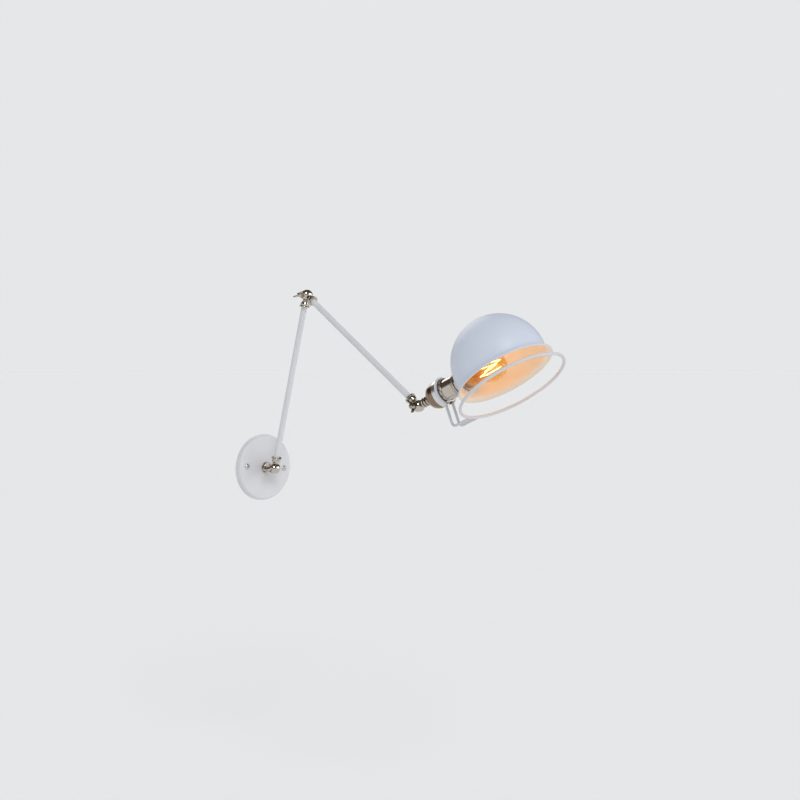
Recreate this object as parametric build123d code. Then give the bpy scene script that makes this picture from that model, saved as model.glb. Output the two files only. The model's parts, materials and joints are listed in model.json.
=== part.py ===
from build123d import *
import math
import os

# A wall lamp with two equal arms on ball knuckles, a side-fed dome shade and a wire guard ring.
# Millimetres. The wall is the plane y = 0, the room is on the -Y side, +Z is up, and every hinge
# turns about the X direction. The origin is the centre of the wall plate's back face.

# Roundings and margins shared by many pieces
crisp_edge = 0.3
small_edge = 0.4
soft_edge = 0.6
full_edge = 0.8
overrun = 1.0

# Wall plate
plate_diameter = 120.0
plate_depth = 11.0
plate_sheet = 1.5
plate_side_lean = 1.5
plate_edge_radius = 4.5

# Plate screws and the bracket behind the plate
screw_circle = 85.0
screw_line_angle = -6.5
screw_radius = 2.0
screw_head_radius = 5.0
screw_head_height = 2.8
screw_slot_length = 6.5
screw_slot_width = 1.1
screw_slot_depth = 1.2
screw_hole_clearance = 0.3
screw_end_recess = 0.3
bracket_length = 102.0
bracket_width = 18.0
bracket_corner = 6.0
bracket_thickness = 2.5
wall_hole_circle = 60.0
wall_hole_radius = 2.6
cable_hole_radius = 6.5

# Terminal block on the bracket
terminal_length = 12.0
terminal_width = 14.0
terminal_height = 5.5
terminal_offset = 18.0
terminal_pitch = 6.5
terminal_wire_radius = 1.3
terminal_screw_radius = 1.2
terminal_screw_height = 1.0
earth_screw_offset = 16.0
earth_screw_radius = 2.0
earth_head_radius = 3.6
earth_head_height = 2.2

# Arms
tube_radius = 5.0
tube_wall = 1.0
arm_length = 320.0
base_pivot_distance = 35.6
lower_arm_elevation = 73.6
upper_arm_elevation = -35.2
socket_elevation = 23.2

# Ball knuckles
ball_radius = 9.2
ball_waist = 2.0
half_gap = 0.15
neck_radius = 4.0
neck_ball_clearance = 0.35
spot_face_depth = 1.3
neck_root = 4.0

# Hinge stud, washer and wing nut
stud_radius = 2.5
stud_depth = 7.0
stud_chamfer = 0.6
running_clearance = 0.06
washer_radius = 5.6
washer_thickness = 1.0
nut_gap = 0.1
nut_root_radius = 4.4
nut_nose_radius = 3.4
nut_height = 7.5
nut_foot_height = 2.5
wing_reach = 10.5
wing_flare = 4.5
wing_width = 6.5
wing_thickness = 2.2
wing_lift = 1.0
wing_step = 1.0
wing_sink = 1.0
wing_corner = 1.5
wing_heel_corner = 1.9
wing_edge = 0.7
stud_showing = 1.6
base_stud_showing = 7.0
base_nut_angle = 2.0
elbow_nut_angle = 70.0
head_nut_angle = -30.0

# Collars between the knuckle necks and the tubes
collar_start = 11.6
collar_length = 9.6
collar_foot_radius = 5.7
collar_bulge_height = 3.7
collar_bulge_radius = 7.5
collar_bulge_edge = 1.2
collar_waist_radius = 7.0
collar_rim_radius = 9.0
collar_rim_length = 2.5
tube_seat = 3.2
base_flange_radius = 10.0
base_flange_thickness = 2.2

# Lock nut and washer that hold the base knuckle inside the plate
lock_washer_radius = 8.5
lock_washer_thickness = 0.8
lock_nut_flats = 13.0
lock_nut_thickness = 3.2
nipple_beyond_nut = 0.8

# Ringed neck between the head knuckle and the socket cap
neck_ring_radius = 7.9
neck_groove_radius = 5.9
neck_ring_count = 3
neck_ring_pitch = 5.4
neck_ring_width = 3.0
neck_ring_edge = 1.0
neck_last_groove = 1.6

# Socket cap, a spun bell
cap_start = 28.0
cap_crown_radius = 9.0
cap_crown_edge = 2.5
cap_shoulder_radius = 18.0
cap_shoulder_drop = 7.0
cap_shoulder_edge = 7.0
cap_belly_radius = 20.6
cap_belly_start = 14.0
cap_belly_edge = 6.0
cap_belly_end = 22.0
cap_skirt_end = 30.0
cap_sheet = 1.2
cap_nut_flats = 12.0
cap_nut_thickness = 3.0

# Socket shell and its flange with grip notches
shell_start = 51.0
shell_flange_radius = 18.6
shell_flange_end = 66.5
shell_radius = 16.8
shell_end = 86.6
shell_fillet = 1.2
barrel_radius = 16.0
barrel_end = 112.2
notch_count = 12
notch_width = 2.6
notch_depth = 0.9
notch_start = 63.4
notch_end = 66.0
bead_ring_gap = 0.6
bead_ring_length = 4.4
bead_ring_radius = 17.7
bead_groove_depth = 0.7
bead_groove_width = 0.9

# Inside the socket
insulator_start = 56.0
insulator_length = 14.0
liner_wall = 1.2
liner_length = 26.0
insulator_wire_radius = 1.5
insulator_wire_offset = 8.0
contact_sleeve_wall = 0.6
bulb_thread_clearance = 0.1
contact_sleeve_length = 25.0
centre_contact_radius = 4.0
centre_contact_height = 1.4

# Band that the guard's loop bears on
band_wall = 1.4
band_start = 50.2

# Shade, a dome with a short flared lip
dome_radius = 70.0
dome_centre_distance = 171.2
rim_below_centre = 22.0
rim_radius = 75.0
lip_height = 9.5
shade_sheet = 1.2
rim_bead_radius = 1.3
shade_tilt = 11.2
land_distance = 106.2
seat_step = 0.6
hole_clearance = 0.2
shade_ring_radius = 20.0
outer_ring_length = 4.6
inner_ring_length = 4.0
grip_count = 16
grip_radius = 1.2

# Wire guard
ring_wire_radius = 2.25
leg_wire_radius = 2.1
guard_ring_radius = 82.0
guard_ring_below_rim = 20.0
leg_spacing = 16.0
leg_corner_radius = 6.5
loop_blend_radius = 6.0

# Bulb
bulb_cap_length = 26.6
bulb_cap_radius = 13.1
bulb_shoulder_height = 2.0
bulb_thread_depth = 0.7
bulb_thread_offset = 3.0
bulb_thread_pitch = 3.6
bulb_thread_turns = 5
bulb_tip_radius = 7.0
bulb_tip_height = 3.0
bulb_tip_rim = 1.2
bulb_contact_radius = 4.0
bulb_contact_height = 1.2
globe_radius = 23.2
globe_distance = 156.0
bulb_neck_radius = 12.6
bulb_neck_lean = 0.35
bulb_throat_radius = 14.6
bulb_throat_distance = 118.0
bulb_glass = 0.8

# Stem and filament
stem_radius = 8.0
stem_waist_radius = 3.2
stem_foot = 1.0
stem_waist_distance = 108.0
stem_waist_edge = 2.0
stem_end = 126.0
stem_end_edge = 1.0
rod_radius = 0.8
rod_end = 172.0
filament_wire = 0.3
support_wire = 0.19
support_reach = 1.0
filament_bottom = 134.0
filament_top = 171.0
filament_bottom_radius = 9.0
filament_top_radius = 7.0
filament_points = 9
filament_bend = 0.5
lead_radius = 0.35
lead_spacing = 1.9


# With this alignment a shape stands on z = 0, centred on its Z axis
standing = (Align.CENTER, Align.CENTER, Align.MIN)


def along(origin, elevation):
    """A frame whose Z leaves the wall at the given elevation, with X kept along the hinges."""
    angle = math.radians(elevation)
    heading = Vector(0, -math.cos(angle), math.sin(angle))
    return Plane(origin=origin, x_dir=(1, 0, 0), z_dir=heading)


def placed(shape, frame):
    return shape.moved(frame.location)


def turned(corners):
    """A solid of revolution about Z from (radius, height, corner rounding) triples."""
    points = [(radius, 0, height) for radius, height, rounding in corners]
    roundings = [rounding for radius, height, rounding in corners]
    outline = FilletPolyline(*points, radius=roundings, close=True)
    return revolve(make_face(outline.edges()), Axis.Z, 360)


def ring(outer, bore, start, end, rounding=0.0):
    """A plain turned ring with its outer corners rounded."""
    corners = [
        (bore, start, 0),
        (outer, start, rounding),
        (outer, end, rounding),
        (bore, end, 0),
    ]
    return turned(corners)


def rod(radius, start, end):
    return Pos(0, 0, start) * Cylinder(radius, end - start, align=standing)


def hexagon(flats, start, thickness, bore):
    body = extrude(RegularPolygon(flats / 2, 6, major_radius=False), thickness)
    return Pos(0, 0, start) * body - rod(bore, start - overrun, start + thickness + overrun)


def across(radius, start, end, side):
    """A cylinder on the X axis between two distances on one side of the centre."""
    body = Cylinder(radius, end - start, align=standing)
    return Rot(0, 90 * side, 0) * Pos(0, 0, start) * body


# Places worked out from the sizes above
base_pivot = Vector(0, -base_pivot_distance, 0)
lower_arm = along(base_pivot, lower_arm_elevation)
elbow_pivot = base_pivot + lower_arm.z_dir * arm_length
upper_arm = along(elbow_pivot, upper_arm_elevation)
head_pivot = elbow_pivot + upper_arm.z_dir * arm_length
head = along(head_pivot, socket_elevation)
stub = along(base_pivot, 180)
lower_arm_back = along(elbow_pivot, lower_arm_elevation + 180)
upper_arm_back = along(head_pivot, upper_arm_elevation + 180)

washer_seat = ball_waist + ball_radius - spot_face_depth
nut_start = washer_seat + washer_thickness + nut_gap
nut_end = nut_start + nut_height
collar_end = collar_start + collar_length
tube_start = collar_end - collar_rim_length - tube_seat
inside_face = base_pivot_distance - plate_depth + plate_sheet
nipple_end = inside_face + lock_washer_thickness + lock_nut_thickness + nipple_beyond_nut
sleeve_bore = bulb_cap_radius + bulb_thread_clearance
sleeve_radius = sleeve_bore + contact_sleeve_wall
barrel_bore_radius = sleeve_radius + liner_wall
insulator_end = insulator_start + insulator_length
cap_top = insulator_end + centre_contact_height
bulb_bottom = cap_top + bulb_cap_length
skirt_outside = shell_flange_radius + cap_sheet
skirt_end = cap_start + cap_skirt_end


def knuckle_half(side, neck_end):
    """Half of a ball knuckle on one side of the split, with its round neck along Z."""
    dome = across(ball_radius, half_gap, ball_waist, side)
    keep = across(2 * ball_radius, ball_waist, 2 * ball_radius, side)
    dome += Pos(side * ball_waist, 0, 0) * Sphere(ball_radius) & keep
    clear = ball_radius + neck_ball_clearance
    own_side = across(2 * ball_radius, half_gap, 2 * ball_radius, side)
    neck = (rod(neck_radius, neck_root, clear) & own_side) + rod(neck_radius, clear, neck_end)
    return dome + neck


def stud_side(neck_end):
    """The half that holds the hinge stud, on the +X side."""
    return knuckle_half(1, neck_end) - across(stud_radius, 0, stud_depth, 1)


def nut_side(neck_end):
    """The half that turns on the stud, on the -X side, with a flat seat for the washer."""
    half = knuckle_half(-1, neck_end)
    half -= across(stud_radius + running_clearance, 0, washer_seat, -1)
    return half - across(ball_radius, washer_seat, 3 * ball_radius, -1)


def hinge_stud(showing):
    """A threaded stud from the bottom of its hole to just past the wing nut."""
    tip = nut_end + showing
    stud = turned([
        (0, -stud_depth, 0),
        (stud_radius, -stud_depth, 0),
        (stud_radius, tip - stud_chamfer, 0),
        (stud_radius - stud_chamfer, tip, 0),
        (0, tip, 0),
    ])
    return Rot(0, -90, 0) * stud


def hinge_washer():
    bore = stud_radius + running_clearance
    return across(washer_radius, washer_seat, washer_seat + washer_thickness, -1) - across(
        bore, washer_seat - overrun, nut_start + overrun, -1
    )


def wing_nut(angle):
    """A wing nut on the -X end, with its wings turned by an angle about the hinge."""
    hub = turned([
        (0, 0, 0),
        (nut_root_radius, 0, small_edge),
        (nut_root_radius, nut_foot_height, 0),
        (nut_nose_radius, nut_height, full_edge),
        (0, nut_height, 0),
    ])
    inner = nut_nose_radius - wing_sink
    tip = nut_height + wing_flare
    ear = FilletPolyline(
        (inner, wing_lift, 0),
        (nut_root_radius + wing_step, wing_lift, 0),
        (wing_reach, tip - wing_width, 0),
        (wing_reach, tip, 0),
        (wing_reach - wing_width / 2, tip, 0),
        (inner, nut_height - wing_sink, 0),
        radius=[0, wing_heel_corner, wing_heel_corner, wing_corner, wing_corner, 0],
        close=True,
    )
    blade = extrude(make_face(ear.edges()), wing_thickness / 2, both=True)
    sides = blade.faces().sort_by(Axis.Z)
    blade = Rot(90, 0, 0) * fillet(sides[0].edges() + sides[-1].edges(), wing_edge)
    nut = hub + blade + Rot(0, 0, 180) * blade
    nut -= rod(stud_radius + running_clearance, -overrun, nut_height + overrun)
    return Rot(angle, 0, 0) * Rot(0, -90, 0) * Pos(0, 0, nut_start) * nut


def cup_corners():
    """The turned outside of a collar, from its foot by the ball to its rim."""
    rim = collar_end - collar_rim_length
    return [
        (collar_foot_radius, collar_start, small_edge),
        (collar_bulge_radius, collar_start + collar_bulge_height, collar_bulge_edge),
        (collar_waist_radius, rim, small_edge),
        (collar_rim_radius, rim, full_edge),
        (collar_rim_radius, collar_end, full_edge),
    ]


def tube_collar():
    """A collar that screws on a neck and takes the end of a tube."""
    bore = [
        (tube_radius, collar_end, 0),
        (tube_radius, tube_start, 0),
        (neck_radius, tube_start, 0),
        (neck_radius, collar_start, 0),
    ]
    return turned(cup_corners() + bore)


def arm_tube():
    return ring(tube_radius, tube_radius - tube_wall, tube_start, arm_length - tube_start)


# Wall plate and what is behind it
def plate_pan(inset):
    """The pan's outside, or its inside when the sheet is taken off."""
    radius = plate_diameter / 2 - inset
    depth = plate_depth - inset
    return turned([
        (0, 0, 0),
        (radius, 0, 0),
        (radius - plate_side_lean, depth, plate_edge_radius - inset),
        (0, depth, 0),
    ])


def on_screw_line(distance, shape):
    """The shape at two places either side of the centre on the turned screw line."""
    turn = Rot(0, -screw_line_angle, 0)
    return [turn * Pos(side * distance, 0, 0) * shape for side in (-1, 1)]


def facing_room(shape):
    """Turns a shape built along +Z so that it leaves the wall along -Y."""
    return Rot(90, 0, 0) * shape


wall_plate = facing_room(plate_pan(0) - plate_pan(plate_sheet))
wall_plate -= facing_room(rod(neck_radius, 0, plate_depth + overrun))
screw_hole = facing_room(rod(screw_radius + screw_hole_clearance, 0, plate_depth + overrun))
for hole in on_screw_line(screw_circle / 2, screw_hole):
    wall_plate -= hole

bracket = Box(bracket_length, bracket_width, bracket_thickness, align=standing)
bracket = fillet(bracket.edges().filter_by(Axis.Z), bracket_corner)


def through_bracket(radius):
    return facing_room(rod(radius, -overrun, bracket_thickness + overrun))


bracket = Rot(0, -screw_line_angle, 0) * facing_room(bracket) - through_bracket(cable_hole_radius)
for hole in on_screw_line(wall_hole_circle / 2, through_bracket(wall_hole_radius)):
    bracket -= hole
for hole in on_screw_line(screw_circle / 2, through_bracket(screw_radius)):
    bracket -= hole
bracket -= on_screw_line(earth_screw_offset, through_bracket(earth_screw_radius))[0]


def plate_screw():
    """A domed screw with a cross slot, from the bracket to the face of the plate."""
    dome_radius_of_head = (screw_head_radius**2 + screw_head_height**2) / (2 * screw_head_height)
    sphere_low = plate_depth + screw_head_height - dome_radius_of_head
    screw = rod(screw_head_radius, plate_depth, plate_depth + screw_head_height)
    screw &= Pos(0, 0, sphere_low) * Sphere(dome_radius_of_head)
    screw += rod(screw_radius, screw_end_recess, plate_depth)
    slot_floor = plate_depth + screw_head_height - screw_slot_depth
    slot = Box(screw_slot_length, screw_slot_width, 2 * screw_slot_depth, align=standing)
    slot = Pos(0, 0, slot_floor) * slot
    return facing_room(screw - slot - Rot(0, 0, 90) * slot)


def terminal_block():
    """A two-way block with a wire hole and a screw seat for each way."""
    block = Box(terminal_length, terminal_width, terminal_height, align=standing)
    block = Pos(0, 0, bracket_thickness) * fillet(block.edges().filter_by(Axis.Z), full_edge)
    middle = bracket_thickness + terminal_height / 2
    for side in (-1, 1):
        way = side * terminal_pitch / 2
        wire_hole = Rot(0, 90, 0) * Cylinder(terminal_wire_radius, 2 * terminal_length)
        block -= Pos(0, way, middle) * wire_hole
        screw_way = rod(terminal_screw_radius, middle, bracket_thickness + terminal_height + overrun)
        block -= Pos(0, way, 0) * screw_way
    return block


def terminal_screws():
    low = bracket_thickness + terminal_height / 2 + terminal_wire_radius
    high = bracket_thickness + terminal_height - terminal_screw_height / 2
    screw = rod(terminal_screw_radius, low, high)
    return [Pos(0, side * terminal_pitch / 2, 0) * screw for side in (-1, 1)]


def on_bracket(shape, offset):
    return Rot(0, -screw_line_angle, 0) * Pos(offset, 0, 0) * facing_room(shape)


earth_screw = rod(earth_screw_radius, screw_end_recess, bracket_thickness)
earth_head_end = bracket_thickness + earth_head_height
earth_screw += ring(earth_head_radius, 0, bracket_thickness, earth_head_end, soft_edge)


def base_collar():
    """The collar between the base knuckle and the plate, with a flange on the plate."""
    face = base_pivot_distance - plate_depth
    flange = [
        (collar_waist_radius, collar_end, crisp_edge),
        (collar_waist_radius, face - base_flange_thickness, crisp_edge),
        (base_flange_radius, face - base_flange_thickness, soft_edge),
        (base_flange_radius, face, 0),
        (neck_radius, face, 0),
        (neck_radius, collar_start, 0),
    ]
    return turned(cup_corners() + flange)


lock_washer = ring(lock_washer_radius, neck_radius, inside_face, inside_face + lock_washer_thickness)
lock_nut = hexagon(lock_nut_flats, inside_face + lock_washer_thickness, lock_nut_thickness, neck_radius)

# Head: ringed neck, cap, socket and band. Heights run along the socket from the head hinge.
head_neck_end = cap_start + cap_sheet + cap_nut_thickness + nipple_beyond_nut


def ringed_neck():
    """Beads and grooves between the knuckle and the cap."""
    corners = [(neck_radius, collar_start, 0), (collar_foot_radius, collar_start, small_edge)]
    last_ring_end = cap_start - neck_last_groove
    for index in range(neck_ring_count):
        high = last_ring_end - (neck_ring_count - 1 - index) * neck_ring_pitch
        low = high - neck_ring_width
        corners += [
            (neck_groove_radius, low, crisp_edge),
            (neck_ring_radius, low, neck_ring_edge),
            (neck_ring_radius, high, neck_ring_edge),
            (neck_groove_radius, high, crisp_edge),
        ]
    corners += [(neck_groove_radius, cap_start, 0), (neck_radius, cap_start, 0)]
    return turned(corners)


def cap_envelope(inset):
    """The bell's outside, or its inside when the sheet is taken off."""
    return turned([
        (0, cap_start + inset, 0),
        (cap_crown_radius, cap_start + inset, cap_crown_edge),
        (cap_shoulder_radius - inset, cap_start + cap_shoulder_drop, cap_shoulder_edge),
        (cap_belly_radius - inset, cap_start + cap_belly_start, cap_belly_edge),
        (cap_belly_radius - inset, cap_start + cap_belly_end, soft_edge if inset == 0 else 0),
        (skirt_outside - inset, cap_start + cap_belly_end, 0),
        (skirt_outside - inset, skirt_end, 0),
        (0, skirt_end, 0),
    ])


socket_cap = cap_envelope(0) - cap_envelope(cap_sheet) - rod(neck_radius, 0, cap_start + 2 * cap_sheet)
cap_nut = hexagon(cap_nut_flats, cap_start + cap_sheet, cap_nut_thickness, neck_radius)

guard_band = ring(skirt_outside + band_wall, skirt_outside, band_start, skirt_end, soft_edge)

socket_shell = turned([
    (barrel_bore_radius, shell_start, 0),
    (shell_flange_radius, shell_start, small_edge),
    (shell_flange_radius, shell_flange_end, small_edge),
    (shell_radius, shell_flange_end, shell_fillet),
    (shell_radius, shell_end, small_edge),
    (barrel_radius, shell_end, 0),
    (barrel_radius, barrel_end, small_edge),
    (barrel_bore_radius, barrel_end, 0),
])
notch = Box(2 * notch_depth, notch_width, notch_end - notch_start, align=standing)
notch = Pos(shell_flange_radius, 0, notch_start) * notch
for index in range(notch_count):
    socket_shell -= Rot(0, 0, index * 360 / notch_count) * notch

bead_start = shell_end + bead_ring_gap
bead_middle = bead_start + bead_ring_length / 2
bead_end = bead_start + bead_ring_length
bead_ring = turned([
    (barrel_radius, bead_start, 0),
    (bead_ring_radius, bead_start, full_edge),
    (bead_ring_radius, bead_middle - bead_groove_width / 2, small_edge),
    (bead_ring_radius - bead_groove_depth, bead_middle, crisp_edge),
    (bead_ring_radius, bead_middle + bead_groove_width / 2, small_edge),
    (bead_ring_radius, bead_end, full_edge),
    (barrel_radius, bead_end, 0),
])

insulator = rod(barrel_bore_radius, insulator_start, insulator_end)
insulator += ring(barrel_bore_radius, sleeve_radius, insulator_end, insulator_end + liner_length)
for side in (-1, 1):
    wire_way = rod(insulator_wire_radius, insulator_start - overrun, insulator_end + overrun)
    insulator -= Pos(0, side * insulator_wire_offset, 0) * wire_way
centre_contact = ring(centre_contact_radius, 0, insulator_end, cap_top, small_edge)
sleeve_end = insulator_end + contact_sleeve_length
contact_sleeve = ring(sleeve_radius, sleeve_bore, insulator_end, sleeve_end)

# Shade. Its own frame stands on the rim's plane with Z up through the dome.
dome_centre = head_pivot + head.z_dir * dome_centre_distance
opening_normal = Vector(
    0,
    -math.cos(math.radians(socket_elevation - 90 + shade_tilt)),
    math.sin(math.radians(socket_elevation - 90 + shade_tilt)),
)
rim_centre = dome_centre + opening_normal * rim_below_centre
shade_frame = Plane(origin=rim_centre, x_dir=(1, 0, 0), z_dir=-opening_normal)


def dome_outline(offset):
    """Two arcs from the top of the dome to the end of its lip, at an offset from mid-sheet."""
    sphere = dome_radius - shade_sheet / 2
    top = Vector(0, 0, rim_below_centre)
    drop = rim_below_centre - lip_height
    waist = Vector(math.sqrt(sphere**2 - drop**2), 0, lip_height)
    lip_end = Vector(rim_radius - rim_bead_radius, 0, rim_bead_radius)
    outward = (waist - top).normalized()
    chord = lip_end - waist
    lip_radius = chord.length**2 / (2 * chord.dot(outward))
    lip_centre = waist + outward * lip_radius
    to_waist = -outward
    to_end = (lip_end - lip_centre).normalized()
    to_middle = (to_waist + to_end).normalized()
    lip = lip_radius - offset
    above = (outward + Vector(0, 0, 1)).normalized()
    reach = sphere + offset
    lip_start = top + outward * reach
    dome_arc = ThreePointArc(top + Vector(0, 0, reach), top + above * reach, lip_start)
    lip_arc = ThreePointArc(lip_start, lip_centre + to_middle * lip, lip_centre + to_end * lip)
    return dome_arc, lip_arc


outer_dome, outer_lip = dome_outline(shade_sheet / 2)
inner_dome, inner_lip = dome_outline(-shade_sheet / 2)
sheet_edges = [outer_dome, outer_lip, inner_dome, inner_lip]
sheet_edges += [Line(outer_lip @ 1, inner_lip @ 1), Line(outer_dome @ 0, inner_dome @ 0)]
sheet_face = make_face([curve.edge() for curve in sheet_edges])
bead_centre = (rim_radius - rim_bead_radius, 0, rim_bead_radius)
bead_face = Plane(origin=bead_centre, x_dir=(1, 0, 0), z_dir=(0, -1, 0)) * Circle(rim_bead_radius)
skin = revolve(sheet_face + bead_face, Axis.Z, 360)
cut_radius = math.sqrt(dome_radius**2 - (dome_centre_distance - land_distance) ** 2) + seat_step
removed_cap = rod(cut_radius, dome_centre_distance - dome_radius - overrun, land_distance)
land = rod(cut_radius, land_distance, land_distance + shade_sheet)
shade = placed(skin, shade_frame) - placed(removed_cap, head) + placed(land, head)
shade -= placed(rod(barrel_radius + hole_clearance, 0, dome_centre_distance), head)


def shade_ring(start, length):
    """A knurled ring on the socket's barrel that clamps the shade's flat seat."""
    body = ring(shade_ring_radius, barrel_radius, start, start + length, soft_edge)
    groove = rod(grip_radius, start - overrun, start + length + overrun)
    groove = Pos(shade_ring_radius + grip_radius / 2, 0, 0) * groove
    for index in range(grip_count):
        body -= Rot(0, 0, index * 360 / grip_count) * groove
    return body


shade_outer_ring = shade_ring(land_distance - outer_ring_length, outer_ring_length)
shade_inner_ring = shade_ring(land_distance + shade_sheet, inner_ring_length)


# Wire guard: a big ring below the rim, two bent legs and a loop round the socket, all one wire.
def wire_guard():
    loop_distance = skirt_end + leg_wire_radius
    loop_radius = shell_flange_radius + leg_wire_radius
    half = leg_spacing / 2
    ring_centre = rim_centre + opening_normal * guard_ring_below_rim
    ring_frame = Plane(origin=ring_centre, x_dir=(1, 0, 0), z_dir=opening_normal)
    local_centre = head.to_local_coords(ring_centre)
    tilt = math.radians(shade_tilt)
    back = math.sqrt(guard_ring_radius**2 - half**2)
    run_depth = -local_centre.Y + back * math.sin(tilt)
    run_end = local_centre.Z - back * math.cos(tilt)

    # Local Y points away from the guard, so depths below the socket are negative.
    blend_centre = math.sqrt((loop_radius + loop_blend_radius) ** 2 - (half + loop_blend_radius) ** 2)
    share = loop_radius / (loop_radius + loop_blend_radius)
    join_x = (half + loop_blend_radius) * share
    join_y = -blend_centre * share
    corner = leg_corner_radius

    def leg(side):
        """One leg from the loop to the ring, on the given side."""
        turn = math.atan2(blend_centre - blend_centre * share, half + loop_blend_radius - join_x) / 2
        middle_x = half + loop_blend_radius - loop_blend_radius * math.cos(turn)
        middle_y = -blend_centre + loop_blend_radius * math.sin(turn)
        bend = corner * (1 - math.cos(math.pi / 4))
        return [
            ThreePointArc(
                (side * join_x, join_y, loop_distance),
                (side * middle_x, middle_y, loop_distance),
                (side * half, -blend_centre, loop_distance),
            ),
            Line(
                (side * half, -blend_centre, loop_distance),
                (side * half, corner - run_depth, loop_distance),
            ),
            ThreePointArc(
                (side * half, corner - run_depth, loop_distance),
                (side * half, bend - run_depth, loop_distance + bend),
                (side * half, -run_depth, loop_distance + corner),
            ),
            Line((side * half, -run_depth, loop_distance + corner), (side * half, -run_depth, run_end)),
        ]

    loop = ThreePointArc(
        (-join_x, join_y, loop_distance), (0, loop_radius, loop_distance), (join_x, join_y, loop_distance)
    )
    path = Wire([curve.edge() for curve in leg(-1) + [loop] + leg(1)])
    start = Plane(origin=(half, -run_depth, run_end), z_dir=(0, 0, 1))
    bent_wire = sweep(start * Circle(leg_wire_radius), path=path)
    big_ring = placed(Torus(guard_ring_radius, ring_wire_radius), ring_frame)
    return placed(bent_wire, head) + big_ring


# Bulb, screwed into the socket
def bulb_envelope(inset):
    """The glass outside, or its inside when the wall is taken off."""
    globe = globe_radius - inset
    throat = bulb_throat_radius - inset
    rise = globe_distance - bulb_throat_distance
    narrowing = globe - throat
    blend = (rise**2 / narrowing - globe - throat) / 2
    blend_centre = Vector(throat + blend, 0, bulb_throat_distance)
    globe_centre = Vector(0, 0, globe_distance)
    toward_globe = (globe_centre - blend_centre).normalized()
    halfway = (toward_globe - Vector(1, 0, 0)).normalized()
    foot = Vector(bulb_neck_radius - inset, 0, bulb_bottom)
    low = Vector(throat, 0, bulb_throat_distance)
    join = globe_centre - toward_globe * globe
    summit = globe_centre + Vector(0, 0, globe)
    equator = globe_centre + Vector(globe, 0, 0)
    curves = [
        Line(Vector(0, 0, bulb_bottom), foot),
        Spline([foot, low], tangents=[(bulb_neck_lean, 0, 1), (0, 0, 1)]),
        ThreePointArc(low, blend_centre + halfway * blend, join),
        ThreePointArc(join, equator, summit),
        Line(summit, Vector(0, 0, bulb_bottom)),
    ]
    return revolve(make_face([curve.edge() for curve in curves]), Axis.Z, 360)


bulb_shell = bulb_envelope(0) - bulb_envelope(bulb_glass)


def bulb_cap():
    """The screw cap, with its round thread as a row of beads."""
    crest = bulb_cap_radius
    root = bulb_cap_radius - bulb_thread_depth
    low = cap_top + bulb_tip_height
    corners = [(bulb_tip_radius, low, 0), (root, low + bulb_shoulder_height, small_edge)]
    thread_start = low + bulb_thread_offset
    for turn in range(bulb_thread_turns):
        height = thread_start + turn * bulb_thread_pitch
        corners += [(root, height, crisp_edge), (crest, height + bulb_thread_pitch / 2, full_edge)]
    corners += [
        (root, thread_start + bulb_thread_turns * bulb_thread_pitch, crisp_edge),
        (bulb_neck_radius, bulb_bottom, 0),
        (bulb_neck_radius - bulb_glass, bulb_bottom, 0),
        (root - bulb_glass, thread_start, 0),
        (bulb_tip_radius, low + bulb_tip_rim, 0),
    ]
    return turned(corners)


bulb_tip = turned([
    (0, cap_top + bulb_contact_height, 0),
    (bulb_contact_radius, cap_top + bulb_contact_height, 0),
    (bulb_tip_radius, cap_top + bulb_tip_height, 0),
    (bulb_tip_radius, cap_top + bulb_tip_height + bulb_tip_rim, 0),
    (0, cap_top + bulb_tip_height + bulb_tip_rim, 0),
])
bulb_contact = ring(bulb_contact_radius, 0, cap_top, cap_top + bulb_contact_height, small_edge)


def bulb_stem():
    """The flared glass stem on the cap's rim and the thin rod that carries the filament."""
    return turned([
        (0, bulb_bottom, 0),
        (bulb_neck_radius - bulb_glass, bulb_bottom, 0),
        (bulb_neck_radius - bulb_glass, bulb_bottom + stem_foot, 0),
        (stem_radius, bulb_bottom + 2 * stem_foot, full_edge),
        (stem_waist_radius, stem_waist_distance, stem_waist_edge),
        (stem_waist_radius, stem_end, stem_end_edge),
        (rod_radius, stem_end, 0),
        (rod_radius, rod_end, crisp_edge),
        (0, rod_end, 0),
    ])


def strand_point(index):
    """The filament's corners, up and down between a lower and an upper circle."""
    angle = 2 * math.pi * index / filament_points
    upper = index % 2 == 1
    radius = filament_top_radius if upper else filament_bottom_radius
    height = filament_top if upper else filament_bottom
    return Vector(radius * math.cos(angle), radius * math.sin(angle), height)


def filament():
    """One wire that zigzags round the rod as a cage, open between its two lower ends."""
    points = [strand_point(index) for index in range(filament_points)]
    path = FilletPolyline(*points, radius=filament_bend)
    start = Plane(origin=path @ 0, z_dir=path % 0)
    return sweep(start * Circle(filament_wire), path=path)


def straight_wire(start, end, radius):
    span = end - start
    wire = Cylinder(radius, span.length, align=standing)
    return Plane(origin=start, z_dir=span).location * wire


def filament_supports():
    """A spoke from the rod through each bend of the filament, and its two leads."""
    wires = []
    for index in range(1, filament_points - 1):
        here = strand_point(index)
        before = (strand_point(index - 1) - here).normalized()
        after = (strand_point(index + 1) - here).normalized()
        half_angle = math.radians(before.get_angle(after)) / 2
        bend_centre = here + (before + after).normalized() * (filament_bend / math.sin(half_angle))
        hub = Vector(0, 0, bend_centre.Z)
        outward = (bend_centre - hub).normalized()
        hook = bend_centre + outward * support_reach
        wires.append(straight_wire(hub + outward * rod_radius, hook, support_wire))
    for index in (0, filament_points - 1):
        end = strand_point(index)
        direction = Vector(end.X, end.Y, 0).normalized()
        foot = direction * lead_spacing + Vector(0, 0, stem_end)
        wires.append(straight_wire(foot, end, lead_radius))
    return wires


nodes = {}


def add(name, *solids):
    nodes[name] = solids[0] if len(solids) == 1 else Compound(children=list(solids))


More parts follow.
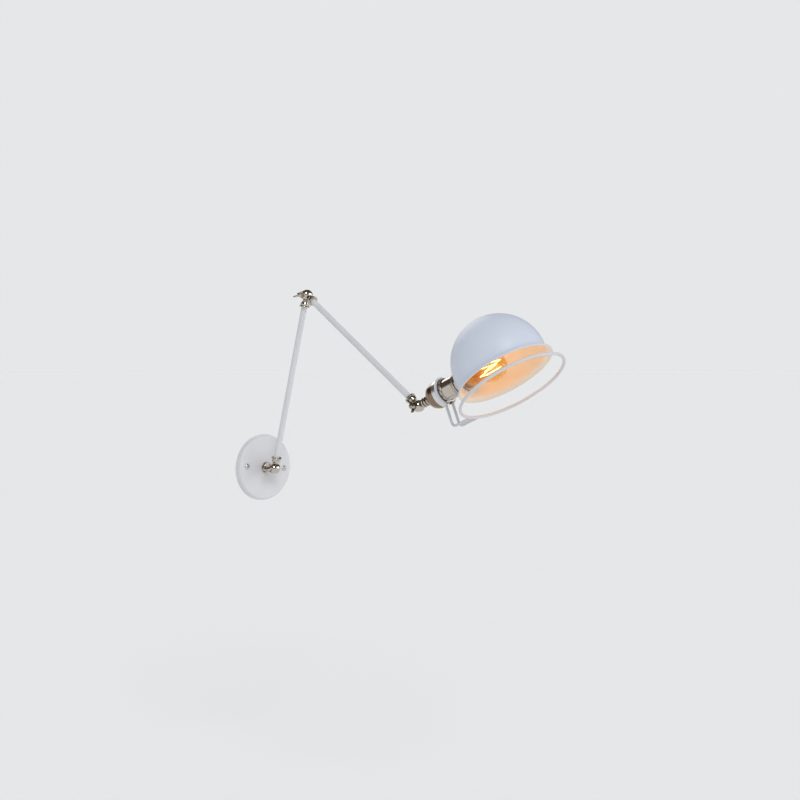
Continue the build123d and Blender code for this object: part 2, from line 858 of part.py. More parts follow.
# Base
add("wall_plate", wall_plate)
add("mounting_bracket", bracket)
add("plate_screws", *on_screw_line(screw_circle / 2, plate_screw()))
add("earth_screw", on_bracket(earth_screw, -earth_screw_offset))
add("terminal_block", on_bracket(terminal_block(), terminal_offset))
add("terminal_screws", *[on_bracket(screw, terminal_offset) for screw in terminal_screws()])
add("base_knuckle", placed(nut_side(nipple_end), stub))
add("base_collar", placed(base_collar(), stub))
add("base_lock_washer", placed(lock_washer, stub))
add("base_lock_nut", placed(lock_nut, stub))
add("base_washer", placed(hinge_washer(), lower_arm))

# Lower arm
add("lower_arm_base_knuckle", placed(stud_side(tube_start), lower_arm))
add("lower_arm_base_collar", placed(tube_collar(), lower_arm))
add("base_hinge_stud", placed(hinge_stud(base_stud_showing), lower_arm))
add("lower_arm_tube", placed(arm_tube(), lower_arm))
add("lower_arm_elbow_collar", placed(tube_collar(), lower_arm_back))
add("lower_arm_elbow_knuckle", placed(nut_side(tube_start), lower_arm_back))
add("elbow_washer", placed(hinge_washer(), upper_arm))
add("base_wing_nut", Pos(base_pivot) * wing_nut(base_nut_angle))

# Upper arm
add("upper_arm_elbow_knuckle", placed(stud_side(tube_start), upper_arm))
add("upper_arm_elbow_collar", placed(tube_collar(), upper_arm))
add("elbow_hinge_stud", placed(hinge_stud(stud_showing), upper_arm))
add("upper_arm_tube", placed(arm_tube(), upper_arm))
add("upper_arm_head_collar", placed(tube_collar(), upper_arm_back))
add("upper_arm_head_knuckle", placed(nut_side(tube_start), upper_arm_back))
add("head_washer", placed(hinge_washer(), head))
add("elbow_wing_nut", Pos(elbow_pivot) * wing_nut(elbow_nut_angle))

# Head
add("head_knuckle", placed(stud_side(head_neck_end), head))
add("head_hinge_stud", placed(hinge_stud(stud_showing), head))
add("head_wing_nut", Pos(head_pivot) * wing_nut(head_nut_angle))
add("ringed_neck", placed(ringed_neck(), head))
add("socket_cap", placed(socket_cap, head))
add("socket_cap_nut", placed(cap_nut, head))
add("guard_band", placed(guard_band, head))
add("wire_guard", wire_guard())
add("socket_shell", placed(socket_shell, head))
add("bead_ring", placed(bead_ring, head))
add("socket_insulator", placed(insulator, head))
add("centre_contact", placed(centre_contact, head))
add("contact_sleeve", placed(contact_sleeve, head))
add("shade", shade)
add("shade_outer_ring", placed(shade_outer_ring, head))
add("shade_inner_ring", placed(shade_inner_ring, head))
add("bulb_cap", placed(bulb_cap(), head))
add("bulb_tip", placed(bulb_tip, head))
add("bulb_contact", placed(bulb_contact, head))
add("bulb_glass", placed(bulb_shell, head))
add("bulb_stem", placed(bulb_stem(), head))
add("filament", placed(filament(), head))
add("filament_supports", *[placed(wire, head) for wire in filament_supports()])

os.makedirs("parts", exist_ok=True)
for name, shape in nodes.items():
    export_step(shape, f"parts/{name}.step")
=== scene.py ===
import bmesh
import bpy
import json
import math
from mathutils import Matrix, Vector

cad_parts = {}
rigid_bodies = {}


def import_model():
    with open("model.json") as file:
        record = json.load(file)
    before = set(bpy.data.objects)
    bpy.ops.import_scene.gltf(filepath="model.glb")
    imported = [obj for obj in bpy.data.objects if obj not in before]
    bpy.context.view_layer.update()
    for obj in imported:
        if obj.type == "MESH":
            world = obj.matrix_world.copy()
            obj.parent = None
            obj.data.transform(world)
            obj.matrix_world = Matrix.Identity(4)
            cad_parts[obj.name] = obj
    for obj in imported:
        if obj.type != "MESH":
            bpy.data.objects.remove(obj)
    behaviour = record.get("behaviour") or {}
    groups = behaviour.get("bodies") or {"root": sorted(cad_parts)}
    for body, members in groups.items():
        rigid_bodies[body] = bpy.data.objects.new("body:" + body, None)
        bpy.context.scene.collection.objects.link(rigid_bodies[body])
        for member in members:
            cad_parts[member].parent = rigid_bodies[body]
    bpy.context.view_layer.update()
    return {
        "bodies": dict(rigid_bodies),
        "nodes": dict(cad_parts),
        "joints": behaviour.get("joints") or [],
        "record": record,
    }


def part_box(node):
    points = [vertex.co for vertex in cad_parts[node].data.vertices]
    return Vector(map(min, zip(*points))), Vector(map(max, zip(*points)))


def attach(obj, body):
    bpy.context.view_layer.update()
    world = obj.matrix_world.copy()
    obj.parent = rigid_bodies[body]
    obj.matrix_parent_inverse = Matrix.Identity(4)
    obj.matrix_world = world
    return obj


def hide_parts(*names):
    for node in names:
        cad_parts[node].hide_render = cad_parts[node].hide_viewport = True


# A wall lamp with two arms on ball knuckles, a dome shade, a wire guard and a glowing amber bulb.
# Metres and degrees. The wall is the plane y = 0, the room is on the -Y side, and the hinges turn about X.

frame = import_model()

MM = 0.001

# Camera, from the photograph's perspective, for an image 800 pixels square
IMAGE_WIDTH = 800
FOCAL_PIXELS = 972
SENSOR = 36.0
CAMERA_PLACE = Vector((-1.1091, -1.4041, 0.1881))
CAMERA_TURN = 46.41
CAMERA_TILT = -2.14
CAMERA_ROLL = -0.13

# Places that the finishes and new pieces share with the frame: elevations of the socket and of the way
# out of the shade, distances along the socket from the head's hinge, and where the wall plate's face is
SOCKET_ELEVATION = 23.2
OPENING_ELEVATION = -55.6
FILAMENT_DISTANCE = 154.0 * MM
GLOBE_DISTANCE = 156.0 * MM
DOME_CENTRE_DISTANCE = 171.2 * MM
PLATE_FACE = -11.0 * MM

# Inside of the shade: how far below the dome's centre the point is that it faces, and how gradually the
# outer colour changes to the inner one over the lip. The outer colour's cool tint and the inner colour's
# warm tint are painted light.
FOCUS_BELOW_DOME = 60.0 * MM
LIP_BLEND = 4 * MM

# Tolerances: corners that merge, places that count as the same, and the sharpest edge that is smoothed
MERGE = 0.001 * MM
CLOSE = 0.01 * MM
NEAR = 0.1 * MM
SMOOTH_ANGLE = 35

# Wing nuts: a tapered hub with two swept wings, turned about their hinge
HUB_SIDES = 24
HUB_FOOT_RADIUS = 4.4 * MM
HUB_NOSE_RADIUS = 3.4 * MM
HUB_HEIGHT = 7.5 * MM
HUB_FOOT_HEIGHT = 1.0 * MM
HUB_WAIST_HEIGHT = 2.6 * MM
HUB_SHOULDER_HEIGHT = 5.0 * MM
NUT_BORE_RADIUS = 2.56 * MM
NUT_EDGE = 0.3 * MM
NUT_EDGE_ANGLE = 38
NUT_TURNS = {"base": 2.0, "elbow": 70.0, "head": -30.0}
WING_THICKNESS = 2.2 * MM

# Steps in which a wing grows out of the hub: how far out, how far up, and the height and thickness left
WING_STEPS = (
    (1.1 * MM, 0.0, 1.0, 1.0),
    (2.3 * MM, 2.0 * MM, 1.0, 0.95),
    (1.9 * MM, 1.7 * MM, 0.98, 1.0),
    (1.3 * MM, 0.4 * MM, 0.76, 0.9),
)

# Studs: a core with a bevelled tip and a screw thread that stops short of both ends
STUD_CORE_RADIUS = 2.12 * MM
TIP_BEVEL_WIDTH = 0.5 * MM
TIP_BEVEL_DROP = 0.35 * MM
TIP_DISH = 0.02 * MM
THREAD_PITCH = 0.8 * MM
THREAD_STEPS = 28
RIDGE_RADIUS = 0.46 * THREAD_PITCH
PLAIN_TURNS = 2
STUD_CARRIERS = {"base": "lower_arm", "elbow": "upper_arm", "head": "head"}

# Plate screws: domed heads with a cross slot, either side of the centre on a slightly turned line
SCREW_SIDES = 48
SCREW_HEAD_RADIUS = 5.0 * MM
SCREW_EDGE_HEIGHT = 0.7 * MM
SCREW_SHANK_RADIUS = 2.0 * MM
SCREW_SHANK_LENGTH = 10.7 * MM
SCREW_BEVEL = 0.12 * MM
SCREW_BEVEL_ANGLE = 42
SCREW_SPACING = 42.5 * MM
SCREW_LINE_TURN = 6.5
SCREW_SLOT_TURNS = {"left": -28.0, "right": 17.0}
SLOT_WIDTH = 1.15 * MM
SLOT_LENGTH = 6.2 * MM
SLOT_DEPTH = 1.2 * MM
SLOT_TAPER = 0.72

# Steps of the screw's dome: how far in and how far up
DOME_STEPS = (
    (0.25 * MM, 0.42 * MM),
    (0.75 * MM, 0.62 * MM),
    (1.1 * MM, 0.55 * MM),
    (1.4 * MM, 0.33 * MM),
    (1.0 * MM, 0.1 * MM),
)
SCREW_TOP_HEIGHT = SCREW_EDGE_HEIGHT + sum(rise for inset, rise in DOME_STEPS)

# Filament: one wire that swings up and down round the bulb's rod, with room left for one more strand
STRANDS = 8
STRAND_PLACES = 9
STRAND_STEPS = 12
FILAMENT_LOW = 134.0 * MM
FILAMENT_HIGH = 171.0 * MM
FILAMENT_LOW_RADIUS = 9.0 * MM
FILAMENT_HIGH_RADIUS = 7.0 * MM
FILAMENT_WIRE = 0.3 * MM
WIRE_ROUNDNESS = 2
BEND_SHARPNESS = 0.93

# Marks in the finishes: how large they are, and how deep where they have relief. The two corner reaches say
# how far painted shade spreads out of corners.
PAINT_CLOUD = 60 * MM
SHADE_CLOUD = 70 * MM
PAINT_PATCH = 9 * MM
PAINT_SHADE_REACH = 3 * MM
PAINT_RIPPLE = 1.1 * MM
PAINT_RIPPLE_DEPTH = 0.008 * MM
DUST_SPECK = 1.3 * MM
METAL_CLOUD = 9 * MM
METAL_SHADE_REACH = 4 * MM
HAIRLINE = 0.5 * MM
HAIRLINE_DEPTH = 0.002 * MM
MOULDED_CLOUD = 5 * MM
MOULDED_GRAIN = 0.7 * MM
MOULDED_GRAIN_DEPTH = 0.01 * MM
GLASS_STREAK = 22 * MM
HOT_PATCH = 4 * MM

# Gloss that both paints share
PAINT_ROUGHNESS = 0.42

# Haze of the glass: it thickens between these distances from the globe's centre, and these are its
# amounts at the edges, in the neck and all over, where its streaks come to 1
GLOBE_REACH = 24 * MM
NECK_REACH = 46 * MM
EDGE_HAZE = 6
NECK_HAZE = 25
EVEN_HAZE = 0.5

# Metals: bright colour, dull colour, roughness, share of dull clouds, and how much painted shade darkens
# their corners
METALS = {
    "satin_nickel": ((0.72, 0.72, 0.73), (0.56, 0.54, 0.52), 0.22, 0.3, 0.5),
    # Polished nickel, darker and warmer than bare nickel: this tone is in part painted reflection of brown
    # surroundings
    "polished_nickel": ((0.58, 0.53, 0.47), (0.42, 0.36, 0.29), 0.06, 0.2, 0.85),
    # Dark nickel: its brown is painted reflection of brown surroundings on darkened nickel
    "dark_nickel": ((0.27, 0.2, 0.14), (0.18, 0.13, 0.085), 0.14, 0.4, 0.5),
    "zinc_steel": ((0.74, 0.73, 0.71), (0.56, 0.55, 0.52), 0.26, 0.5, 0.85),
    "brass_hardware": ((0.78, 0.58, 0.28), (0.6, 0.42, 0.2), 0.22, 0.4, 0.85),
    "solder": ((0.62, 0.62, 0.63), (0.45, 0.45, 0.46), 0.35, 0.4, 0.85),
    "fine_wire": ((0.5, 0.46, 0.4), (0.35, 0.32, 0.28), 0.3, 0.2, 0.85),
}

# Moulded and fired pieces: colour and roughness
MOULDED = {
    "terminal_plastic": ((0.84, 0.82, 0.76), 0.4),
    "liner_ceramic": ((0.85, 0.83, 0.78), 0.16),
    "black_glass": ((0.04, 0.04, 0.045), 0.1),
}

# Glasses: tint of what shows through, colour of the haze, amount of haze, and shine at the edges
GLASSES = {
    "amber_glass": ((0.95, 0.885, 0.66), (1.0, 0.55, 0.17), 0.03, 0.5),
    "clear_glass": ((0.97, 0.95, 0.9), (0.7, 0.6, 0.45), 0.02, 0.4),
}

# Lit bulb: the lamp inside it, and how brightly the filament itself shows
BULB_COLOUR = (1.0, 0.46, 0.15)
BULB_POWER = 0.041
BULB_RADIUS = 9 * MM
FILAMENT_GLOW = 9.0

# Studio, with a floor below the lowest reach of the head. The ceiling that mirrors show begins a little
# below level and is full at a low slope, both as the height of a direction of length 1.
FLOOR_HEIGHT = -0.66
FLOOR_SIZE = 200
FLOOR_COLOUR = (0.93, 0.93, 0.93)
BACKGROUND = (0.791, 0.799, 0.807)
CEILING = (0.1, 0.083, 0.066)
CEILING_BEGINS = -0.03
CEILING_FULL = 0.22
EVEN_LIGHT = (0.97, 0.985, 1.0)
EVEN_LIGHT_STRENGTH = 0.55

# Lamps of the studio: where each shines from, its strength and its spread
SUNS = {
    "key_light": (Vector((-0.9, -1.6, 1.5)), 1.0, 24),
    "fill_light": (Vector((1.5, -1.3, 0.5)), 0.5, 30),
    "back_light": (Vector((0.7, 1.5, 0.9)), 0.5, 34),
}


def into_room(elevation):
    """The direction straight out from the wall, raised by an angle."""
    angle = math.radians(elevation)
    return Vector((0, -math.cos(angle), math.sin(angle)))


joints = {joint["name"]: Vector(joint["pos_m"]) for joint in frame["joints"]}
pivots = {name: joints[f"{name}_hinge"] for name in ("base", "elbow", "head")}
head_pivot = pivots["head"]
socket_axis = into_room(SOCKET_ELEVATION)
filament_centre = head_pivot + socket_axis * FILAMENT_DISTANCE
globe_centre = head_pivot + socket_axis * GLOBE_DISTANCE
dome_centre = head_pivot + socket_axis * DOME_CENTRE_DISTANCE
below_opening = dome_centre + into_room(OPENING_ELEVATION) * FOCUS_BELOW_DOME

# The head's own directions at rest: X, up across the socket, and along the socket
across = Vector((1, 0, 0))
head_turn = Matrix((across, socket_axis.cross(across), socket_axis)).transposed()
head_place = Matrix.Translation(head_pivot) @ head_turn.to_4x4()


class Signal:
    """A shader value that adds Math nodes as it is calculated with."""

    def __init__(self, shading, socket):
        self.shading = shading
        self.socket = socket

    def math(self, operation, other):
        return self.shading.node("ShaderNodeMath", {"operation": operation}, {0: self, 1: other})

    def __add__(self, other):
        return self.math("ADD", other)

    def __sub__(self, other):
        return self.math("SUBTRACT", other)

    def __mul__(self, other):
        return self.math("MULTIPLY", other)

    def __rsub__(self, other):
        return self.shading.node("ShaderNodeMath", {"operation": "SUBTRACT"}, {0: other, 1: self})

    __radd__ = __add__
    __rmul__ = __mul__

    def larger(self, other):
        return self.math("MAXIMUM", other)

    def clamped(self):
        return self.shading.node("ShaderNodeClamp", {}, {"Value": self})

    def between(self, low, high):
        """0 below low, 1 above high and smooth between them."""
        values = {"Value": self, "From Min": low, "From Max": high}
        return self.shading.node("ShaderNodeMapRange", {"interpolation_type": "SMOOTHSTEP"}, values)


class Shading:
    """The nodes of a material or a world, under construction."""

    def __init__(self, owner, output):
        owner.use_nodes = True
        self.owner = owner
        self.tree = owner.node_tree
        self.tree.nodes.clear()
        self.output = self.tree.nodes.new(output)

    def connect(self, target, value):
        if isinstance(value, Signal):
            self.tree.links.new(value.socket, target)
        elif hasattr(target.default_value, "__len__") and len(value) == 3 and len(target.default_value) == 4:
            target.default_value = (*value, 1.0)
        else:
            target.default_value = value

    def node(self, kind, settings, values, output=0):
        """Adds one node, sets it up, then fills its sockets with numbers, colours or signals."""
        made = self.tree.nodes.new(kind)
        for name, value in settings.items():
            setattr(made, name, value)
        for key, value in values.items():
            self.connect(made.inputs[key], value)
        return Signal(self, made.outputs[output])

    def blend(self, share, low, high):
        """A colour from low at share 0 to high at share 1. The node's colours are its inputs 6 and 7."""
        return self.node("ShaderNodeMix", {"data_type": "RGBA"}, {"Factor": share, 6: low, 7: high}, 2)

    def mix(self, share, first, second):
        """The first shader at share 0 and the second at share 1."""
        return self.node("ShaderNodeMixShader", {}, {0: share, 1: first, 2: second})

    def done(self, shader):
        self.tree.links.new(shader.socket, self.output.inputs["Surface"])
        return self.owner


class Finish(Shading):
    """A material under construction."""

    def __init__(self, name):
        super().__init__(bpy.data.materials.new(name), "ShaderNodeOutputMaterial")

    def place(self):
        """Where a point of the piece is, in metres."""
        return self.node("ShaderNodeTexCoord", {}, {}, "Object")

    def noise(self, size, detail=2.0, roughness=0.5):
        """Noise from 0 to 1 with features of about the given size."""
        values = {"Vector": self.place(), "Scale": 1 / size, "Detail": detail, "Roughness": roughness}
        return self.node("ShaderNodeTexNoise", {}, values, "Fac")

    def vector_math(self, operation, first, second, output=0):
        return self.node("ShaderNodeVectorMath", {"operation": operation}, {0: first, 1: second}, output)

    def faces(self, point):
        """1 where the surface faces a point and 0 where it faces away, with a narrow change between."""
        towards = self.vector_math("SUBTRACT", tuple(point), self.place())
        normal = self.node("ShaderNodeTexCoord", {}, {}, "Normal")
        return self.vector_math("DOT_PRODUCT", towards, normal, "Value").between(-LIP_BLEND, LIP_BLEND)

    def distance_to(self, point):
        return self.vector_math("DISTANCE", self.place(), tuple(point), "Value")

    def corners(self, reach):
        """0 on open surface, more in corners and gaps narrower than the reach. The finishes paint shade into
        corners with it.
        """
        return 1.0 - self.node("ShaderNodeAmbientOcclusion", {"samples": 8}, {"Distance": reach}, "AO")

    def bump(self, height, depth):
        return self.node("ShaderNodeBump", {}, {"Height": height, "Strength": 1.0, "Distance": depth})

    def surface(self, **values):
        """The main shader. Names are its sockets, with underscores for spaces."""
        named = {name.replace("_", " "): value for name, value in values.items()}
        return self.node("ShaderNodeBsdfPrincipled", {}, named)


def darkened(colour, share):
    return tuple(share * channel for channel in colour)


def paint_clouds(finish, size):
    return finish.noise(size).between(0.3, 0.8)


def dust_specks(finish):
    return finish.noise(DUST_SPECK).between(0.72, 0.8)


def sprayed(finish, colour, roughness):
    """A sprayed satin coat: uneven in gloss and slightly wavy."""
    return finish.surface(
        Base_Color=colour,
        Roughness=finish.noise(PAINT_PATCH) * 0.08 + roughness,
        Coat_Weight=0.12,
        Coat_Roughness=0.35,
        Normal=finish.bump(finish.noise(PAINT_RIPPLE), PAINT_RIPPLE_DEPTH),
    )


def white_paint():
    """Satin paint with painted shade that greys its corners, and a few specks of dust under it."""
    clean = (0.68, 0.68, 0.71)
    dusty_and_shaded = (0.5, 0.49, 0.49)
    finish = Finish("white_paint")
    # Painted shade in corners, from ambient occlusion, together with dust specks: both pull the paint
    # towards the dusty grey
    marks = (finish.corners(PAINT_SHADE_REACH) * 0.5 + dust_specks(finish) * 0.1).clamped()
    clouded = finish.blend(paint_clouds(finish, PAINT_CLOUD) * 0.12, clean, dusty_and_shaded)
    return finish.done(sprayed(finish, finish.blend(marks, clouded, dusty_and_shaded), PAINT_ROUGHNESS))


def shade_paint():
    """White paint with painted light: a cool tint outside for daylight, and a warm tint inside for the glow
    of the bulb, which also lights it.
    """
    # The cool outer tint is painted daylight and the warm inner tint is painted bulb light, both on white
    # paint
    outer_cool_lit_clean = (0.65, 0.705, 0.82)
    outer_cool_lit_dusty = (0.59, 0.62, 0.69)
    inner_bulb_lit_clean = (0.88, 0.79, 0.68)
    inner_bulb_lit_dusty = (0.84, 0.74, 0.62)
    finish = Finish("shade_paint")
    inside = finish.faces(below_opening)
    cloud = paint_clouds(finish, SHADE_CLOUD)
    marks = (cloud * 0.15 + dust_specks(finish) * 0.08).clamped()
    cool_lit_outer = finish.blend(marks, outer_cool_lit_clean, outer_cool_lit_dusty)
    bulb_lit_inner = finish.blend(cloud * 0.3, inner_bulb_lit_clean, inner_bulb_lit_dusty)
    colour = finish.blend(inside, cool_lit_outer, bulb_lit_inner)
    return finish.done(sprayed(finish, colour, inside * 0.1 + PAINT_ROUGHNESS))


def plated(name, bright, dull, roughness, wear, corner_shade_share):
    """Polished plate: faint clouds, hairline marks, and painted shade that darkens the metal where it sinks
    into a corner.
    """
    finish = Finish(name)
    cloud = finish.noise(METAL_CLOUD, 3.0, 0.6).between(0.4, 0.8)
    fine = finish.noise(HAIRLINE, 3.0, 0.6)
    corner = finish.corners(METAL_SHADE_REACH)
    colour = finish.blend(cloud * wear, bright, dull)
    return finish.done(
        finish.surface(
            # Painted shade: corners darken towards a deep shade of the dull colour
            Base_Color=finish.blend((corner * corner_shade_share).clamped(), colour, darkened(dull, 0.22)),
            Metallic=1.0,
            Roughness=cloud * 0.05 + fine * 0.04 + corner * 0.1 + roughness,
            Normal=finish.bump(fine, HAIRLINE_DEPTH),
        )
    )


def moulded(name, colour, roughness):
    """Moulded or fired surface with a fine grain and faint clouds."""
    finish = Finish(name)
    grain = finish.noise(MOULDED_GRAIN, 3.0)
    return finish.done(
        finish.surface(
            Base_Color=finish.blend(finish.noise(MOULDED_CLOUD) * 0.5, colour, darkened(colour, 0.86)),
            Roughness=grain * 0.1 + roughness,
            Normal=finish.bump(grain, MOULDED_GRAIN_DEPTH),
        )
    )


def thin_glass(name, tint, body, haze, gloss):
    """Tinted glass too thin to bend light, hazier at its edges and neck, with a skin that shines there."""
    finish = Finish(name)
    neck = finish.distance_to(globe_centre).between(GLOBE_REACH, NECK_REACH)
    streak = finish.noise(GLASS_STREAK)
    facing = finish.node("ShaderNodeLayerWeight", {}, {"Blend": 0.5}, "Facing")
    edge = facing * facing * facing
    clear = finish.node("ShaderNodeBsdfTransparent", {}, {"Color": tint})
    film = finish.surface(Base_Color=finish.blend(streak, body, darkened(body, 0.7)), Roughness=0.3)
    cloudy = ((edge * EDGE_HAZE + neck * NECK_HAZE + streak + EVEN_HAZE) * haze).clamped()
    shine = finish.node("ShaderNodeBsdfGlossy", {}, {"Color": (1, 1, 1), "Roughness": 0.02})
    return finish.done(finish.mix((edge * gloss + 0.02).clamped(), finish.mix(cloudy, clear, film), shine))


def glowing_wire():
    """Hot wire, whiter and yellower by turns."""
    finish = Finish("glowing_filament")
    glow = finish.blend(finish.noise(HOT_PATCH), (1.0, 0.74, 0.42), (1.0, 0.88, 0.66))
    wire = finish.surface(Base_Color=(0.3, 0.2, 0.1), Emission_Color=glow, Emission_Strength=FILAMENT_GLOW)
    return finish.done(wire)


finishes = {
    "white_paint": white_paint(),
    "shade_paint": shade_paint(),
    "glowing_filament": glowing_wire(),
}
for make, recipes in ((plated, METALS), (moulded, MOULDED), (thin_glass, GLASSES)):
    for name, recipe in recipes.items():
        finishes[name] = make(name, *recipe)

for subpart in frame["record"]["subparts"]:
    materials = frame["nodes"][subpart["node"]].data.materials
    materials.clear()
    materials.append(finishes[subpart["material_slot"]])


def deselect():
    bpy.ops.object.select_all(action="DESELECT")


def begin(add_primitive, **settings):
    """Adds a primitive, moves its place and turn into its mesh, and opens it with all of it selected."""
    deselect()
    add_primitive(**settings)
    bpy.ops.object.transform_apply(location=True, rotation=True)
    bpy.ops.object.mode_set(mode="EDIT")
    return bpy.context.active_object


def activate(piece):
    deselect()
    piece.select_set(True)
    bpy.context.view_layer.objects.active = piece


def pick(kind, test):
    """Selects the faces, edges or corners that pass a test, and nothing else."""
    bpy.ops.mesh.select_mode(type=kind)
    bpy.ops.mesh.select_all(action="DESELECT")
    data = bpy.context.active_object.data
    mesh = bmesh.from_edit_mesh(data)
    for item in {"FACE": mesh.faces, "EDGE": mesh.edges, "VERT": mesh.verts}[kind]:
        if test(item):
            item.select_set(True)
    mesh.select_flush_mode()
    bmesh.update_edit_mesh(data)


def middle(face):
    return face.calc_center_median()


def faces_up(face):
    return face.normal.z > 0.9


def faces_down(face):
    return face.normal.z < -0.9


def stands_up(face):
    return abs(face.normal.z) < 0.5


def push(offset):
    bpy.ops.mesh.extrude_region_move(TRANSFORM_OT_translate={"value": offset})


def raise_by(rise):
    bpy.ops.transform.translate(value=(0, 0, rise))


def swell(scale, centre):
    bpy.ops.transform.resize(value=scale, center_override=centre)


def cut(height):
    """Divides the whole mesh at a height."""
    bpy.ops.mesh.select_all(action="SELECT")
    bpy.ops.mesh.bisect(plane_co=(0, 0, height), plane_no=(0, 0, 1))


def refine(piece, kind, name, **settings):
    """Adds a modifier and applies it at once."""
    modifier = piece.modifiers.new(name, kind)
    for key, value in settings.items():
        setattr(modifier, key, value)
    bpy.ops.object.modifier_apply(modifier=modifier.name)


def round_edges(piece, width, angle):
    """Bevels the edges that are sharper than an angle."""
    limit = math.radians(angle)
    refine(piece, "BEVEL", "edges", width=width, segments=2, limit_method="ANGLE", angle_limit=limit)


def close_edit():
    """Merges doubled corners, turns the faces outwards and ends the editing."""
    bpy.ops.mesh.select_all(action="SELECT")
    bpy.ops.mesh.remove_doubles(threshold=MERGE)
    bpy.ops.mesh.normals_make_consistent(inside=False)
    bpy.ops.object.mode_set(mode="OBJECT")


def settle(model, name, place, body, slot, node):
    """Puts a copy of a model at its place on a body, where it stands for a node of the frame."""
    piece = model.copy()
    piece.data = model.data.copy()
    piece.name = name
    bpy.context.collection.objects.link(piece)
    activate(piece)
    piece.matrix_world = place
    bpy.ops.object.transform_apply(location=True, rotation=True, scale=True)
    bpy.ops.object.shade_smooth_by_angle(angle=math.radians(SMOOTH_ANGLE))
    piece.data.materials.clear()
    piece.data.materials.append(finishes[slot])
    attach(piece, body)
    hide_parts(node)


def across_hinge(pivot, turn):
    """Turns a piece built along Z so that it leaves a hinge towards -X, turned about the hinge."""
    turned = Matrix.Rotation(math.radians(turn), 4, "X") @ Matrix.Rotation(math.radians(-90), 4, "Y")
    return Matrix.Translation(pivot) @ turned


def grow_wing(side):
    """Draws a wing out of one side of the hub, 1 for +X and -1 for -X."""

    def on_hub_side(face):
        place = middle(face)
        beside = place.x * side > 0 and abs(place.y) < WING_THICKNESS / 2
        return beside and stands_up(face) and place.z > HUB_FOOT_HEIGHT

    pick("FACE", on_hub_side)
    reach = HUB_FOOT_RADIUS
    height = (HUB_FOOT_HEIGHT + HUB_HEIGHT) / 2
    for out, rise, tall, thick in WING_STEPS:
        push((0, 0, 0))
        reach += out
        swell((0, thick, tall), (side * reach, 0, height))
        raise_by(rise)
        height += rise


def open_bore():
    """Joins the two ends of the hub by a bore, between faces that are inset to its size."""

    def is_end(face):
        return len(face.verts) == HUB_SIDES and abs(middle(face).x) < NEAR and not stands_up(face)

    pick("FACE", lambda face: is_end(face) and faces_up(face))
    bpy.ops.mesh.inset(thickness=HUB_NOSE_RADIUS - NUT_BORE_RADIUS)
    pick("FACE", lambda face: is_end(face) and faces_down(face))
    bpy.ops.mesh.inset(thickness=HUB_FOOT_RADIUS - NUT_BORE_RADIUS)
    pick("FACE", is_end)
    bpy.ops.mesh.bridge_edge_loops()


def wing_nut_model():
    """A wing nut that stands on z = 0, with its wings along X."""
    nut = begin(
        bpy.ops.mesh.primitive_cylinder_add,
        vertices=HUB_SIDES,
        radius=HUB_FOOT_RADIUS,
        depth=HUB_HEIGHT,
        location=(0, 0, HUB_HEIGHT / 2),
    )
    for height in (HUB_FOOT_HEIGHT, HUB_WAIST_HEIGHT, HUB_SHOULDER_HEIGHT):
        cut(height)
    nose = HUB_NOSE_RADIUS / HUB_FOOT_RADIUS
    for height, share in ((HUB_HEIGHT, nose), (HUB_SHOULDER_HEIGHT, (1 + nose) / 2)):
        pick("VERT", lambda corner: abs(corner.co.z - height) < NEAR)
        swell((share, share, 1), (0, 0, height))
    for side in (1, -1):
        grow_wing(side)
    open_bore()
    close_edit()
    round_edges(nut, NUT_EDGE, NUT_EDGE_ANGLE)
    refine(nut, "SUBSURF", "forged", levels=1, render_levels=1)
    return nut


def wing_nuts():
    model = wing_nut_model()
    for joint, pivot in pivots.items():
        node = f"{joint}_wing_nut"
        foot = -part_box(node)[1].x
        place = across_hinge(pivot, NUT_TURNS[joint]) @ Matrix.Translation((0, 0, foot))
        settle(model, f"winged_nut_{joint}", place, node, "polished_nickel", node)
    bpy.data.objects.remove(model)


def stud_core(start, tip):
    """A round bar along Z. The tip's middle is dished a little, which tells it from the rim to bevel."""
    core = begin(
        bpy.ops.mesh.primitive_cylinder_add,
        vertices=THREAD_STEPS,
        radius=STUD_CORE_RADIUS,
        depth=tip - start,
        location=(0, 0, (start + tip) / 2),
    )
    pick("FACE", faces_up)
    bpy.ops.mesh.inset(thickness=TIP_BEVEL_WIDTH)
    raise_by(-TIP_DISH)
    pick("VERT", lambda corner: corner.co.z > tip - CLOSE)
    raise_by(-TIP_BEVEL_DROP)
    close_edit()
    return core


def thread_ridge(start, tip):
    """A helical ridge with a square section that stands on its edge."""
    ridge = begin(
        bpy.ops.mesh.primitive_circle_add,
        vertices=4,
        radius=RIDGE_RADIUS,
        rotation=(math.pi / 2, 0, 0),
        location=(STUD_CORE_RADIUS, 0, start + THREAD_PITCH),
    )
    bpy.ops.object.mode_set(mode="OBJECT")
    refine(
        ridge,
        "SCREW",
        "helix",
        axis="Z",
        angle=2 * math.pi,
        screw_offset=THREAD_PITCH,
        iterations=int((tip - start) / THREAD_PITCH) - PLAIN_TURNS,
        steps=THREAD_STEPS,
        render_steps=THREAD_STEPS,
        use_merge_vertices=True,
        merge_threshold=MERGE,
    )
    bpy.ops.object.mode_set(mode="EDIT")
    bpy.ops.mesh.select_all(action="SELECT")
    bpy.ops.mesh.fill_holes(sides=4)
    close_edit()
    return ridge


def stud_model(start, tip):
    """A threaded stud along Z."""
    core = stud_core(start, tip)
    ridge = thread_ridge(start, tip)
    activate(core)
    ridge.select_set(True)
    bpy.ops.object.join()
    return core


def threaded_studs():
    for joint, pivot in pivots.items():
        node = f"{joint}_hinge_stud"
        low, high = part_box(node)
        model = stud_model(-high.x, -low.x)
        place = across_hinge(pivot, 0)
        settle(model, f"threaded_stud_{joint}", place, STUD_CARRIERS[joint], "polished_nickel", node)
        bpy.data.objects.remove(model)


